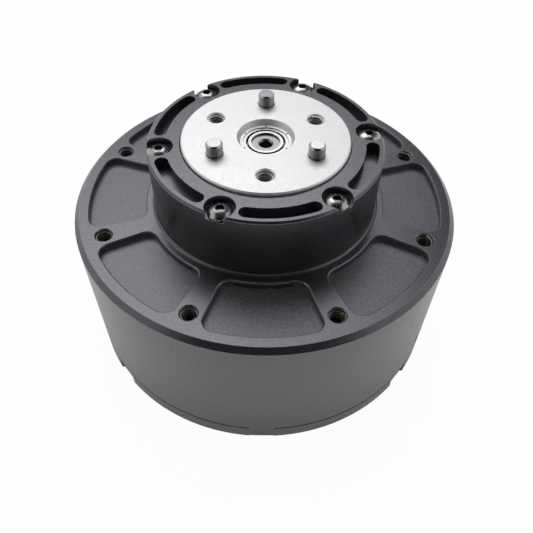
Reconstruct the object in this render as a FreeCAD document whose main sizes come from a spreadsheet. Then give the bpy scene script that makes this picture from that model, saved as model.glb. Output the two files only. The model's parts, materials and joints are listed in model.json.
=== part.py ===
"""Robot joint actuator: a brushless inner-rotor motor behind a two-stage planetary reduction.

Millimetres, +Z up along the output axis, origin at the centre of the rear face that it stands on.
Angles round the axis are counted from the front (-Y) towards +X, so angle 0 is the front.
"""
import FreeCAD, Part
import math
import os

doc = FreeCAD.newDocument("JointActuator")
sheet = doc.addObject("Spreadsheet::Sheet", "Sizes")

# ---------------------------------------------------------------------------------------------
# Driving dimensions: one spreadsheet cell each
# ---------------------------------------------------------------------------------------------
DRIVING = {
    # front housing: drum, mounting flange and hub
    "drum_radius": 49.0,
    "drum_wall": 5.0,
    "drum_top": 41.0,
    "rim_chamfer": 1.3,
    "flange_thickness": 6.0,
    "hub_wall": 5.0,
    "hub_fillet": 0.8,
    "sleeve_wall": 3.0,
    "plate_seat_wall": 1.8,
    "stator_shoulder": 1.0,
    # flange holes and pockets
    "flange_hole_radius": 2.0,
    "flange_hole_depth": 5.2,
    "flange_hole_inset": 6.6,
    "flange_hole_phase": 22.5,
    "hole_countersink": 0.3,
    "pocket_land": 2.3,
    "pocket_rim": 3.8,
    "pocket_web": 9.0,
    "pocket_depth": 1.8,
    "pocket_corner": 3.0,
    "pocket_edge": 0.25,
    # cover ring that holds the output bearing
    "cover_ring_thickness": 2.9,
    "cover_ring_chamfer": 0.5,
    "cover_ring_gap": 0.25,
    "ring_screw_inset": 2.9,
    "ring_screw_depth": 5.5,
    "tap_runout": 1.5,
    "ring_screw_phase": -22.0,
    "ring_slot_phase": 8.0,
    "ring_slot_span": 34.0,
    "ring_slot_width": 3.2,
    "counterbore_radius": 3.5,
    "counterbore_depth": 1.85,
    # rear cover, gasket and electronics bay
    "cover_thickness": 2.6,
    "cover_band": 4.55,
    "cover_wall": 3.0,
    "cover_chamfer": 0.5,
    "gasket_thickness": 0.5,
    "gasket_inset": 0.8,
    "notch_width": 6.4,
    "notch_depth": 0.7,
    "notch_depth_front": 0.3,
    "bay_depth": 7.8,
    "pillar_radius": 2.7,
    "pillar_gap": 0.3,
    "board_thickness": 1.6,
    "board_standoff": 3.2,
    "standoff_radius": 2.6,
    "standoff_inset": 7.0,
    "pad_thickness": 1.8,
    "socket_reach": 5.2,
    "socket_wall": 0.9,
    "socket_floor": 1.2,
    "socket_clearance": 0.3,
    "power_socket_inset": 13.0,
    "signal_socket_inset": 9.0,
    "lead_inset": 5.0,
    "lead_radius": 0.8,
    "lead_clearance": 0.5,
    "chip_reach": 20.0,
    "chip_length": 5.0,
    "chip_width": 6.0,
    "pad_margin": 1.5,
    "pad_span": 130.0,
    "can_circle": 24.0,
    "can_radius": 2.4,
    "can_height": 2.6,
    "controller_reach": 18.0,
    "controller_side": 8.0,
    "encoder_side": 4.0,
    "chip_height": 1.0,
    # rear bearing plate
    "rear_plate_thickness": 2.6,
    "plate_screw_inset": 3.4,
    "plate_thread": 4.5,
    "boss_wall": 2.5,
    "bearing_lip": 0.5,
    "grub_angle": 59.0,
    "grub_radius": 1.25,
    # rotor
    "rotor_gap": 0.8,
    "rotor_plate_thickness": 2.2,
    "rotor_room_share": 0.14286,
    "rotor_iron_share": 0.14286,
    "magnet_share": 0.17143,
    "magnet_gap_angle": 0.8,
    "magnet_length": 14.0,
    "magnet_start": 2.6,
    "window_circle": 18.5,
    "window_radius": 4.5,
    "shaft_radius": 4.0,
    "encoder_magnet_radius": 3.0,
    "encoder_magnet_length": 2.3,
    "encoder_gap": 0.5,
    # stator
    "air_gap": 0.5,
    "stator_stack": 13.0,
    "stator_yoke_share": 0.16,
    "stator_standoff": 3.5,
    "tooth_width": 3.2,
    "tooth_tip": 1.0,
    "slot_opening": 1.6,
    "winding_thickness": 1.8,
    "winding_gap": 0.15,
    # gear train
    "ring_wall": 1.84,
    "module_size": 0.6,
    "sun_teeth": 14,
    "planet_teeth": 28,
    "addendum": 0.48,
    "dedendum": 0.66,
    "tooth_thinning": 0.06,
    "first_planet_width": 7.0,
    "second_planet_width": 8.2,
    "first_pin_radius": 2.0,
    "second_pin_radius": 2.5,
    "pin_running_gap": 0.03,
    "end_gap": 0.4,
    "stage_gap": 0.5,
    "carrier_radius": 19.4,
    "first_rear_thickness": 2.4,
    "first_front_thickness": 2.5,
    "second_rear_thickness": 2.8,
    "spacer_circle": 15.2,
    "spacer_radius": 2.9,
    "boss_gap": 0.7,
    # output flange
    "disc_overhang": 2.9,
    "disc_proud": 0.8,
    "disc_edge": 0.3,
    "journal_land": 0.7,
    "circlip_thickness": 1.0,
    "circlip_depth": 0.6,
    "race_shoulder": 1.3,
    "recess_depth": 1.4,
    "recess_radius": 6.95,
    "recess_taper": 0.75,
    "output_hole_radius": 2.0,
    "output_hole_circle": 14.2,
    "output_hole_depth": 7.0,
    "dowel_radius": 2.0,
    "dowel_circle": 13.6,
    "dowel_proud": 3.0,
    "dowel_depth": 6.5,
    "dowel_chamfer": 0.4,
    "dowel_shoulder": 0.2,
    "shaft_end_drop": 0.7,
    "centre_drill_radius": 1.45,
    # ball bearings: bore, outer radius, width, ball radius
    "output_bearing_section": 6.0,
    "output_bearing_width": 7.0,
    "output_ball_radius": 1.75,
    "centre_bearing_bore": 3.5,
    "centre_bearing_outer": 5.5,
    "centre_bearing_width": 3.0,
    "centre_ball_radius": 0.6,
    "rotor_bearing_outer": 7.0,
    "rotor_bearing_width": 4.0,
    "rotor_ball_radius": 1.0,
    "ball_clearance": 0.02,
    # screws: nominal shank radii
    "screw_three": 1.5,
    "screw_two_half": 1.25,
    "screw_two": 1.0,
    "screw_clearance": 0.15,
}

PLANETS = 3
FLANGE_HOLES = 8
HUB_SCREWS = 6
REAR_SCREWS = 6
NOTCH_ANGLES = (50.0, 130.0, 230.0, 310.0)
MAGNETS = 28
STATOR_TEETH = 24
WINDOWS = 6
STAKES = 6


class Size:
    """A dimension: its value now, and the expression that binds it to the spreadsheet."""

    def __init__(self, value, text):
        self.value = value
        self.text = text

    @staticmethod
    def of(other):
        return other if isinstance(other, Size) else Size(float(other), repr(float(other)))

    def joined(self, other, sign, value):
        return Size(value, f"({self.text} {sign} {Size.of(other).text})")

    def __add__(self, other):
        return self.joined(other, "+", self.value + Size.of(other).value)

    def __sub__(self, other):
        return self.joined(other, "-", self.value - Size.of(other).value)

    def __mul__(self, other):
        return self.joined(other, "*", self.value * Size.of(other).value)

    def __truediv__(self, other):
        return self.joined(other, "/", self.value / Size.of(other).value)

    def __radd__(self, other):
        return Size.of(other) + self

    def __rsub__(self, other):
        return Size.of(other) - self

    def __rmul__(self, other):
        return Size.of(other) * self

    def __neg__(self):
        return Size(-self.value, f"(-{self.text})")


def sine(angle):
    angle = Size.of(angle)
    return Size(math.sin(math.radians(angle.value)), f"sin({angle.text} * 1 deg)")


def cosine(angle):
    angle = Size.of(angle)
    return Size(math.cos(math.radians(angle.value)), f"cos({angle.text} * 1 deg)")


def fill_sheet():
    """Write each driving dimension to its own cell, with its alias."""
    sizes = {}
    for row, (alias, value) in enumerate(DRIVING.items(), start=1):
        sheet.set(f"A{row}", alias)
        sheet.set(f"B{row}", str(value))
        sheet.setAlias(f"B{row}", alias)
        sizes[alias] = Size(float(value), f"Sizes.{alias}")
    doc.recompute()
    return sizes


class Named:
    """Driving dimensions as attributes: d.drum_radius."""

    def __init__(self, sizes):
        self.__dict__.update(sizes)


d = Named(fill_sheet())
nodes = []

# ---------------------------------------------------------------------------------------------
# Building blocks
# ---------------------------------------------------------------------------------------------


def bind(obj, prop, size):
    obj.setExpression(prop, Size.of(size).text)


def spot(obj, x=0, y=0, z=0, turn=0):
    """Place an object; turn is in degrees about +Z, counter-clockwise from above."""
    obj.Placement = FreeCAD.Placement(
        FreeCAD.Vector(), FreeCAD.Rotation(FreeCAD.Vector(0, 0, 1), Size.of(turn).value))
    for axis, size in (("x", x), ("y", y), ("z", z)):
        bind(obj, f"Placement.Base.{axis}", size)
    bind(obj, "Placement.Rotation.Angle", turn)
    return obj


def cylinder(radius, low, high, x=0, y=0, span=None, turn=0):
    obj = doc.addObject("Part::Cylinder", "Cylinder")
    bind(obj, "Radius", radius)
    bind(obj, "Height", high - low)
    if span is not None:
        bind(obj, "Angle", span)
    return spot(obj, x, y, low, turn)


def cone(low_radius, high_radius, low, high, x=0, y=0):
    obj = doc.addObject("Part::Cone", "Cone")
    bind(obj, "Radius1", low_radius)
    bind(obj, "Radius2", high_radius)
    bind(obj, "Height", high - low)
    return spot(obj, x, y, low)


def box(length, width, low, high, angle=0, reach=0):
    """A box centred on a ray at this angle; length runs along the ray and starts at reach."""
    obj = doc.addObject("Part::Box", "Box")
    bind(obj, "Length", length)
    bind(obj, "Width", width)
    bind(obj, "Height", high - low)
    ray = Size.of(angle) - 90
    half = Size.of(width) / 2
    x = reach * cosine(ray) + half * sine(ray)
    y = reach * sine(ray) - half * cosine(ray)
    return spot(obj, x, y, low, ray)


def sphere(radius, x, y, z):
    obj = doc.addObject("Part::Sphere", "Sphere")
    bind(obj, "Radius", radius)
    return spot(obj, x, y, z)


def torus(ring_radius, tube_radius, z):
    obj = doc.addObject("Part::Torus", "Torus")
    bind(obj, "Radius1", ring_radius)
    bind(obj, "Radius2", tube_radius)
    return spot(obj, 0, 0, z)


def hexagon(radius, low, high, x=0, y=0):
    obj = doc.addObject("Part::Prism", "Hexagon")
    obj.Polygon = 6
    bind(obj, "Circumradius", radius)
    bind(obj, "Height", high - low)
    return spot(obj, x, y, low)


def fuse(*parts):
    if len(parts) == 1:
        return parts[0]
    obj = doc.addObject("Part::MultiFuse", "Fusion")
    obj.Shapes = list(parts)
    return obj


def cut(base, *tools):
    obj = doc.addObject("Part::Cut", "Cut")
    obj.Base = base
    obj.Tool = fuse(*tools)
    return obj


def common(first, second):
    obj = doc.addObject("Part::Common", "Common")
    obj.Base = first
    obj.Tool = second
    return obj


def group(parts):
    obj = doc.addObject("Part::Compound", "Group")
    obj.Links = list(parts)
    return obj


def tube(outer, inner, low, high):
    return cut(cylinder(outer, low, high), cylinder(inner, low - 1, high + 1))


def at(radius, angle):
    """The point at this radius and this angle from the front."""
    return radius * sine(angle), -(radius * cosine(angle))


def around(count, radius, phase):
    """Points evenly spaced on a circle."""
    return [at(radius, phase + i * 360.0 / count) for i in range(count)]


def drilled(radius, low, high, points):
    """A cylinder at each point, for holes, pillars and pins."""
    return [cylinder(radius, low, high, x, y) for x, y in points]


def countersunk(radius, low, face, points):
    """A hole that opens at a face with a small chamfer, at each point."""
    holes = []
    for x, y in points:
        holes.append(cylinder(radius, low, face + 1, x, y))
        holes.append(cone(radius, radius + d.hole_countersink + 0.1, face - d.hole_countersink,
                          face + 0.1, x, y))
    return holes


def node(name, obj):
    """Give a finished sub-part its name, which is its file's name too."""
    obj.Label = name
    nodes.append(obj)
    return obj


def screws(points, shank, seat, tip, up, head, height, dome=0.0):
    """Hex-socket screws: heads on a seat, tips at a height, heads above the seat when up is 1."""
    made = []
    for x, y in points:
        top = seat + up * height
        low, high = (seat, top) if up > 0 else (top, seat)
        body = cylinder(head, low, high, x, y)
        if dome:
            body = common(body, sphere(head * 1.45, x, y, top - up * head * 1.45))
        stem_low, stem_high = (tip, seat) if up > 0 else (seat, tip)
        depth = up * height * 0.6
        socket_low, socket_high = (top - depth, top + 1) if up > 0 else (top - 1, top - depth)
        made.append(cut(fuse(body, cylinder(shank, stem_low, stem_high, x, y)),
                        hexagon(head * 0.42, socket_low, socket_high, x, y)))
    return group(made)


# ---------------------------------------------------------------------------------------------
# Heights, from the rear face up
# ---------------------------------------------------------------------------------------------
seam = d.cover_band + d.gasket_thickness
plate_low = d.cover_thickness + d.bay_depth
plate_high = plate_low + d.rear_plate_thickness
board_high = plate_low - d.board_standoff
board_low = board_high - d.board_thickness
rotor_low = plate_high + d.rotor_gap
rotor_high = rotor_low + d.rotor_plate_thickness
front_race_low = rotor_high + d.boss_gap
front_race_high = front_race_low + d.rotor_bearing_width
sleeve_low = front_race_high + d.bearing_lip
first_rear_low = sleeve_low + d.end_gap
first_rear_high = first_rear_low + d.first_rear_thickness
first_planet_low = first_rear_high + d.end_gap
first_planet_high = first_planet_low + d.first_planet_width
first_front_low = first_planet_high + d.end_gap
first_front_high = first_front_low + d.first_front_thickness
second_rear_low = first_front_high + d.stage_gap
second_rear_high = second_rear_low + d.second_rear_thickness
second_planet_low = second_rear_high + d.end_gap
second_planet_high = second_planet_low + d.second_planet_width
flange_low = second_planet_high + d.end_gap
circlip_low = flange_low + d.journal_land
output_race_low = circlip_low + d.circlip_thickness
hub_top = output_race_low + d.output_bearing_width
ring_top = hub_top + d.cover_ring_thickness
disc_top = ring_top + d.disc_proud
ceiling = d.drum_top - d.flange_thickness
rear_race_low = plate_high - d.rotor_bearing_width

# ---------------------------------------------------------------------------------------------
# Radii and gear geometry
# ---------------------------------------------------------------------------------------------
sun_pitch = d.module_size * d.sun_teeth / 2
planet_pitch = d.module_size * d.planet_teeth / 2
centre_distance = sun_pitch + planet_pitch
gearbox_radius = centre_distance + planet_pitch + d.dedendum + d.ring_wall
hub_radius = gearbox_radius + d.hub_wall
output_bearing_bore = gearbox_radius - d.output_bearing_section
disc_radius = output_bearing_bore + d.disc_overhang
ring_screw_circle = hub_radius - d.ring_screw_inset
flange_hole_circle = d.drum_radius - d.flange_hole_inset
pocket_inner = hub_radius + d.pocket_land
pocket_outer = d.drum_radius - d.pocket_rim
pocket_span = 360.0 / FLANGE_HOLES - d.pocket_web
plate_screw_circle = d.drum_radius - d.plate_screw_inset
stator_outer = d.drum_radius - d.drum_wall
plate_seat = d.drum_radius - d.plate_seat_wall
rear_plate_radius = plate_seat - 0.1
sleeve_outer = gearbox_radius + d.sleeve_wall
pillar_circle = d.drum_radius - d.cover_wall - d.pillar_gap - d.pillar_radius
board_radius = pillar_circle - d.pillar_radius - d.pillar_gap
motor_room = stator_outer - sleeve_outer
rotor_inner = sleeve_outer + motor_room * d.rotor_room_share
magnet_inner = rotor_inner + motor_room * d.rotor_iron_share
magnet_outer = magnet_inner + motor_room * d.magnet_share
stator_inner = magnet_outer + d.air_gap
stator_yoke = motor_room * d.stator_yoke_share
lead_circle = stator_outer - d.lead_inset
standoff_circle = board_radius - d.standoff_inset
ring_teeth = int(DRIVING["sun_teeth"] + 2 * DRIVING["planet_teeth"])
first_planets = around(PLANETS, centre_distance, 60.0)
second_planets = around(PLANETS, centre_distance, 0.0)
spacers_first = around(PLANETS, d.spacer_circle, 0.0)
spacers_second = around(PLANETS, d.spacer_circle, 60.0)
PRESSURE_ANGLE = math.radians(25.0)


def involute(angle):
    return math.tan(angle) - angle


def toothed(teeth, tip, root, thickness, low, high):
    """A toothed blank, one tooth centred on +X: circular roots and tips, involute flanks."""
    module = d.module_size.value
    pitch_radius = module * teeth / 2
    base = pitch_radius * math.cos(PRESSURE_ANGLE)

    def half_angle(radius):
        pressure = math.acos(min(1.0, base / radius))
        return thickness / (2 * pitch_radius) + involute(PRESSURE_ANGLE) - involute(pressure)

    def point(radius, angle):
        return FreeCAD.Vector(radius * math.cos(angle), radius * math.sin(angle), low)

    start = max(base, root)
    middle = (start + tip) / 2
    step = 2 * math.pi / teeth
    edges = []
    for i in range(teeth):
        centre = i * step
        before = centre - half_angle(start)
        after = centre + half_angle(start)
        if start > root:
            edges.append(Part.LineSegment(point(root, before), point(start, before)).toShape())
        edges.append(Part.Arc(point(start, before), point(middle, centre - half_angle(middle)),
                              point(tip, centre - half_angle(tip))).toShape())
        edges.append(Part.Arc(point(tip, centre - half_angle(tip)), point(tip, centre),
                              point(tip, centre + half_angle(tip))).toShape())
        edges.append(Part.Arc(point(tip, centre + half_angle(tip)),
                              point(middle, centre + half_angle(middle)), point(start, after)).toShape())
        if start > root:
            edges.append(Part.LineSegment(point(start, after), point(root, after)).toShape())
        edges.append(Part.Arc(point(root, after), point(root, centre + step / 2),
                              point(root, before + step)).toShape())
    face = Part.Face(Part.Wire(edges))
    obj = doc.addObject("Part::Feature", "Teeth")
    obj.Shape = face.extrude(FreeCAD.Vector(0, 0, high - low))
    return obj


def external_gear(teeth, pitch, low, high):
    """Teeth that stand outwards, thinned for backlash."""
    thickness = math.pi * d.module_size.value / 2 - d.tooth_thinning.value
    return toothed(teeth, (pitch + d.addendum).value, (pitch - d.dedendum).value, thickness,
                   low.value, high.value)


def planet_turn(position):
    """The turn that puts a planet at this angle (from +X) in mesh with a sun tooth on +X."""
    sun, planet = DRIVING["sun_teeth"], DRIVING["planet_teeth"]
    return position + 180.0 + position * sun / planet + 180.0 / planet


def ring_turn(position):
    """The turn that puts a ring-gear space where the planet at this angle has a tooth."""
    planet = DRIVING["planet_teeth"]
    space = position + (planet_turn(position) - position) * planet / ring_teeth
    return space


# ---------------------------------------------------------------------------------------------
# Housing and covers
# ---------------------------------------------------------------------------------------------


def flange_pocket(angle):
    """One rounded sector pocket in the flange's face."""
    low = d.drum_top - d.pocket_depth
    high = d.drum_top + 1
    start = angle - 90.0 - pocket_span / 2
    sector = cut(cylinder(pocket_outer, low, high, span=pocket_span, turn=start),
                 cylinder(pocket_inner, low - 1, high + 1))
    doc.recompute()
    rounded = doc.addObject("Part::Fillet", "Pocket")
    rounded.Base = sector
    upright = [i + 1 for i, edge in enumerate(sector.Shape.Edges)
               if abs(edge.tangentAt(edge.FirstParameter).z) > 0.99]
    corner = d.pocket_corner.value
    rounded.Edges = [(i, corner, corner) for i in upright]
    return rounded


def front_housing():
    shell = fuse(cylinder(d.drum_radius, seam, d.drum_top - d.rim_chamfer),
                 cone(d.drum_radius, d.drum_radius - d.rim_chamfer, d.drum_top - d.rim_chamfer,
                      d.drum_top),
                 cylinder(hub_radius, d.drum_top - 1, hub_top))
    doc.recompute()
    faired = doc.addObject("Part::Fillet", "HubFillet")
    faired.Base = shell
    joint = [i + 1 for i, edge in enumerate(shell.Shape.Edges)
             if abs(edge.BoundBox.ZMin - d.drum_top.value) < 1e-6 and edge.BoundBox.ZLength < 1e-6
             and abs(edge.BoundBox.XMax - hub_radius.value) < 1e-3]
    fillet = d.hub_fillet.value
    faired.Edges = [(i, fillet, fillet) for i in joint]
    stator_top = stator_low + d.stator_stack
    tools = [
        tube(stator_outer, sleeve_outer, sleeve_low, stator_top),
        tube(stator_outer - d.stator_shoulder, sleeve_outer, stator_top, ceiling),
        cylinder(stator_outer, plate_high, sleeve_low),
        cylinder(plate_seat, seam - 1, plate_high),
        cylinder(gearbox_radius, sleeve_low - 1, hub_top + 1),
    ]
    tools += drilled(d.screw_three, hub_top - d.ring_screw_depth - d.tap_runout, hub_top + 1,
                     around(HUB_SCREWS, ring_screw_circle, d.ring_screw_phase))
    tools += drilled(d.screw_two, plate_high - 1, plate_high + d.plate_thread + 0.5, plate_screw_points)
    tools += drilled(d.screw_two, sleeve_low - 1, sleeve_low + d.plate_thread + 0.5, end_screw_points)
    tools += countersunk(d.flange_hole_radius, d.drum_top - d.flange_hole_depth, d.drum_top,
                         around(FLANGE_HOLES, flange_hole_circle, d.flange_hole_phase))
    tools += [flange_pocket(i * 360.0 / FLANGE_HOLES) for i in range(FLANGE_HOLES)]
    tools.append(grub_hole())
    carved = cut(faired, *tools)
    doc.recompute()
    eased = doc.addObject("Part::Chamfer", "PocketEdges")
    eased.Base = carved
    rims = [i + 1 for i, edge in enumerate(carved.Shape.Edges) if on_pocket_rim(edge)]
    eased.Edges = [(i, d.pocket_edge.value, d.pocket_edge.value) for i in rims]
    return node("front_housing", eased)


def on_pocket_rim(edge):
    """True for an edge that lies on the flange's face, between the hub and the rim."""
    bounds = edge.BoundBox
    if bounds.ZLength > 1e-6 or abs(bounds.ZMin - d.drum_top.value) > 1e-6:
        return False
    radii = [math.hypot(v.Point.x, v.Point.y) for v in edge.Vertexes]
    whole_circle = len(edge.Vertexes) < 2 or edge.Vertexes[0].isSame(edge.Vertexes[-1])
    return not whole_circle and all(pocket_inner.value - 0.01 < r < pocket_outer.value + 0.01
                                    for r in radii)


def grub_hole():
    """The radial hole through the drum for the screw that locks the rear plate."""
    return radial_cylinder(d.grub_radius, rear_plate_radius - 1, d.drum_radius + 1)


def radial_cylinder(radius, start, end):
    """A cylinder along the grub screw's ray, between two radii."""
    obj = doc.addObject("Part::Cylinder", "Radial")
    bind(obj, "Radius", radius)
    bind(obj, "Height", end - start)
    angle = d.grub_angle.value - 90.0
    ray = FreeCAD.Vector(math.cos(math.radians(angle)), math.sin(math.radians(angle)), 0)
    obj.Placement = FreeCAD.Placement(FreeCAD.Vector(), FreeCAD.Rotation(FreeCAD.Vector(0, 0, 1), ray))
    x, y = at(start, d.grub_angle)
    bind(obj, "Placement.Base.x", x)
    bind(obj, "Placement.Base.y", y)
    bind(obj, "Placement.Base.z", (plate_low + plate_high) / 2)
    return obj


def grub_screw():
    seat = rear_plate_radius
    length = 3.0
    body = radial_cylinder(d.grub_radius, seat, seat + length * 0.4)
    socket = radial_cylinder(d.grub_radius * 0.5, seat + length * 0.2, seat + length)
    node("plate_grub_screw", cut(body, socket))


def arc_slot(angle):
    """One rounded arc slot through the cover ring."""
    low, high = hub_top - 1, ring_top + 1
    half_width = d.ring_slot_width / 2
    start = angle - 90.0 - d.ring_slot_span / 2
    sector = cut(cylinder(ring_screw_circle + half_width, low, high, span=d.ring_slot_span, turn=start),
                 cylinder(ring_screw_circle - half_width, low - 1, high + 1))
    ends = [cylinder(half_width, low, high, *at(ring_screw_circle, angle + side * d.ring_slot_span / 2))
            for side in (-1.0, 1.0)]
    return [sector] + ends


def cover_ring():
    points = around(HUB_SCREWS, ring_screw_circle, d.ring_screw_phase)
    seat = ring_top - d.counterbore_depth
    body = fuse(cylinder(hub_radius, hub_top, ring_top - d.cover_ring_chamfer),
                cone(hub_radius, hub_radius - d.cover_ring_chamfer,
                     ring_top - d.cover_ring_chamfer, ring_top))
    tools = [cylinder(disc_radius + d.cover_ring_gap, hub_top - 1, ring_top + 1)]
    tools += drilled(d.screw_three + d.screw_clearance, hub_top - 1, ring_top, points)
    tools += drilled(d.counterbore_radius, seat, ring_top + 1, points)
    for i in range(HUB_SCREWS):
        tools += arc_slot(d.ring_slot_phase + i * 360.0 / HUB_SCREWS)
    node("bearing_cover_ring", cut(body, *tools))
    node("cover_ring_screws", screws(points, d.screw_three, seat, hub_top - d.ring_screw_depth, 1.0,
                                     d.screw_three * 1.9, d.screw_three * 1.1, dome=1.0))


def rear_plate():
    boss = d.rotor_bearing_outer + d.boss_wall
    boss_low = rear_race_low - d.bearing_lip
    tools = [cylinder(d.rotor_bearing_outer, rear_race_low, plate_high + 1),
             cylinder(d.rotor_bearing_outer - 0.8, boss_low - 1, plate_high)]
    tools += drilled(d.screw_two + d.screw_clearance, plate_low - 1, plate_high + 1, plate_screw_points)
    tools += drilled(d.screw_two, board_high - 1, board_high + d.plate_thread, standoff_points)
    tools += drilled(d.screw_two_half, d.cover_thickness - 1, d.cover_thickness + 7, pillar_points)
    tools += [cylinder(d.lead_radius + d.lead_clearance, plate_low - 1, plate_high + 1, x, y) for x, y in lead_points]
    body = fuse(cylinder(rear_plate_radius, plate_low, plate_high),
                cylinder(boss, boss_low, plate_low + 0.5),
                *drilled(d.pillar_radius, d.cover_thickness, plate_low + 0.5, pillar_points),
                *drilled(d.standoff_radius, board_high, plate_low + 0.5, standoff_points))
    node("rear_bearing_plate", cut(body, *tools))
    node("rear_plate_screws", screws(plate_screw_points, d.screw_two, plate_low, plate_high + d.plate_thread,
                                     -1.0, d.screw_two * 1.5, d.screw_two * 1.1))


def rear_cover():
    body = fuse(cone(d.drum_radius - d.cover_chamfer, d.drum_radius, 0 * d.cover_band, d.cover_chamfer),
                cylinder(d.drum_radius, d.cover_chamfer, d.cover_band))
    tools = [cylinder(d.drum_radius - d.cover_wall, d.cover_thickness, d.cover_band + 1)]
    tools += [box(d.notch_depth + 1, d.notch_width, -1.0, d.cover_band + 1, angle,
                  d.drum_radius - d.notch_depth) for angle in NOTCH_ANGLES]
    tools += [box(d.notch_depth_front + 1, d.notch_width, -1.0, d.cover_band + 1, angle,
                  d.drum_radius - d.notch_depth_front) for angle in (0.0, 180.0)]
    tools += drilled(d.screw_two_half + d.screw_clearance, -1.0 * d.cover_thickness,
                     d.cover_thickness + 1, pillar_points)
    tools += drilled(d.screw_two_half * 1.9, -1.0 * d.cover_thickness, cover_screw_seat, pillar_points)
    tools += [socket_window(place) for place in SOCKETS]
    node("rear_cover", cut(body, *tools))
    node("rear_cover_screws", screws(pillar_points, d.screw_two_half, cover_screw_seat,
                                     d.cover_thickness + 6, -1.0, d.screw_two_half * 1.7,
                                     cover_screw_seat * 0.85))
    node("cover_gasket", tube(d.drum_radius - d.gasket_inset, d.drum_radius - d.cover_wall,
                              d.cover_band, seam))


def gearbox_end_plate():
    boss = d.rotor_bearing_outer + d.boss_wall
    plate_bottom = sleeve_low - 3.2
    tools = [cylinder(d.rotor_bearing_outer, front_race_low - 1, front_race_high),
             cylinder(d.rotor_bearing_outer - 0.8, front_race_low, sleeve_low + 1)]
    tools += drilled(d.screw_two + d.screw_clearance, plate_bottom - 1, sleeve_low + 1, end_screw_points)
    body = fuse(cylinder(sleeve_outer, plate_bottom, sleeve_low),
                cylinder(boss, front_race_low, plate_bottom + 0.5))
    node("gearbox_end_plate", cut(body, *tools))
    node("end_plate_screws", screws(end_screw_points, d.screw_two, plate_bottom, sleeve_low + d.plate_thread,
                                    -1.0, d.screw_two * 1.4, d.screw_two * 0.9))


# ---------------------------------------------------------------------------------------------
# Electronics
# ---------------------------------------------------------------------------------------------
plate_screw_points = around(REAR_SCREWS, plate_screw_circle, 0.0)
pillar_points = around(REAR_SCREWS, pillar_circle, 30.0)
end_screw_points = around(REAR_SCREWS, gearbox_radius + d.sleeve_wall / 2, 30.0)
standoff_points = around(4, standoff_circle, 45.0)
cover_screw_seat = d.cover_thickness / 2
power_reach = board_radius - d.power_socket_inset
signal_reach = board_radius - d.signal_socket_inset
# sockets on the board: name, angle, distance from the axis, radial and tangential size, pins
SOCKETS = (
    ("power", 180.0, power_reach, 7.0, 14.0, 2),
    ("signal", 155.0, signal_reach, 5.4, 8.0, 4),
    ("signal", 205.0, signal_reach, 5.4, 8.0, 4),
)


def socket_window(place):
    """The opening in the rear cover round one socket."""
    _, angle, reach, depth, width, _ = place
    return box(depth + 2 * d.socket_clearance, width + 2 * d.socket_clearance,
               -1.0 * d.cover_thickness, d.cover_thickness + 1, angle, reach - d.socket_clearance)


def sockets():
    """Board sockets that open at the rear face, with their contact pins."""
    low = board_low - d.socket_reach
    shells = {"power": [], "signal": []}
    pins = {"power": [], "signal": []}
    for kind, angle, reach, depth, width, count in SOCKETS:
        shell = box(Size.of(depth), Size.of(width), low, board_low, angle, reach)
        hollow = box(depth - 2 * d.socket_wall, width - 2 * d.socket_wall, low - 1,
                     board_low - d.socket_floor, angle, reach + d.socket_wall)
        shells[kind].append(cut(shell, hollow))
        radius = 1.2 if kind == "power" else 0.3
        pitch = (width - 2 * d.socket_wall) / count
        for i in range(count):
            aside = (i - (count - 1) / 2) * pitch
            middle = reach + depth / 2
            ray = angle - 90.0
            x = middle * cosine(ray) - aside * sine(ray)
            y = middle * sine(ray) + aside * cosine(ray)
            pins[kind].append(cylinder(Size.of(radius), low + 1, board_low - d.socket_floor, x, y))
    for kind in shells:
        node(f"{kind}_socket" if kind == "power" else f"{kind}_sockets",
             fuse_or_group(shells[kind]))
        node(f"{kind}_contacts", group(pins[kind]))


def fuse_or_group(parts):
    return parts[0] if len(parts) == 1 else group(parts)


def electronics():
    board = cut(cylinder(board_radius, board_low, board_high),
                *drilled(d.screw_two + d.screw_clearance, board_low - 1, board_high + 1, standoff_points),
                *[cylinder(d.lead_radius, board_low - 1, board_high + 1, x, y) for x, y in lead_points])
    node("driver_board", board)
    node("board_screws", screws(standoff_points, d.screw_two, board_low, board_high + 4, -1.0,
                                d.screw_two * 1.8, d.screw_two * 1.2))
    chip_low = d.cover_thickness + d.pad_thickness
    chips = [box(d.chip_length, d.chip_width, chip_low, board_low, -50.0 + i * 20.0, d.chip_reach)
             for i in range(6)]
    node("power_transistors", group(chips))
    pad = cut(cylinder(d.chip_reach + d.chip_length + d.pad_margin, d.cover_thickness, chip_low,
                       span=d.pad_span, turn=-90.0 - d.pad_span / 2),
              cylinder(d.chip_reach - d.pad_margin, d.cover_thickness - 1, chip_low + 1))
    node("thermal_pad", pad)
    cans = [cylinder(d.can_radius, board_high, board_high + d.can_height,
                     *at(d.can_circle, 150.0 + i * 20.0)) for i in range(4)]
    node("bus_capacitors", group(cans))
    node("control_chip", box(d.controller_side, d.controller_side, board_high,
                             board_high + d.chip_height, 90.0, d.controller_reach))
    node("encoder_chip", box(d.encoder_side, d.encoder_side, board_high, encoder_chip_top, 0.0,
                             -(d.encoder_side / 2)))
    leads = [cylinder(d.lead_radius, board_low - 0.3, winding_low, x, y) for x, y in lead_points]
    node("phase_leads", group(leads))


# ---------------------------------------------------------------------------------------------
# Motor
# ---------------------------------------------------------------------------------------------
stator_low = rotor_high + d.stator_standoff
winding_low = stator_low - d.winding_thickness - d.winding_gap
encoder_chip_top = board_high + d.chip_height
lead_points = [at(lead_circle, angle) for angle in (82.5, 97.5, 112.5)]


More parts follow.
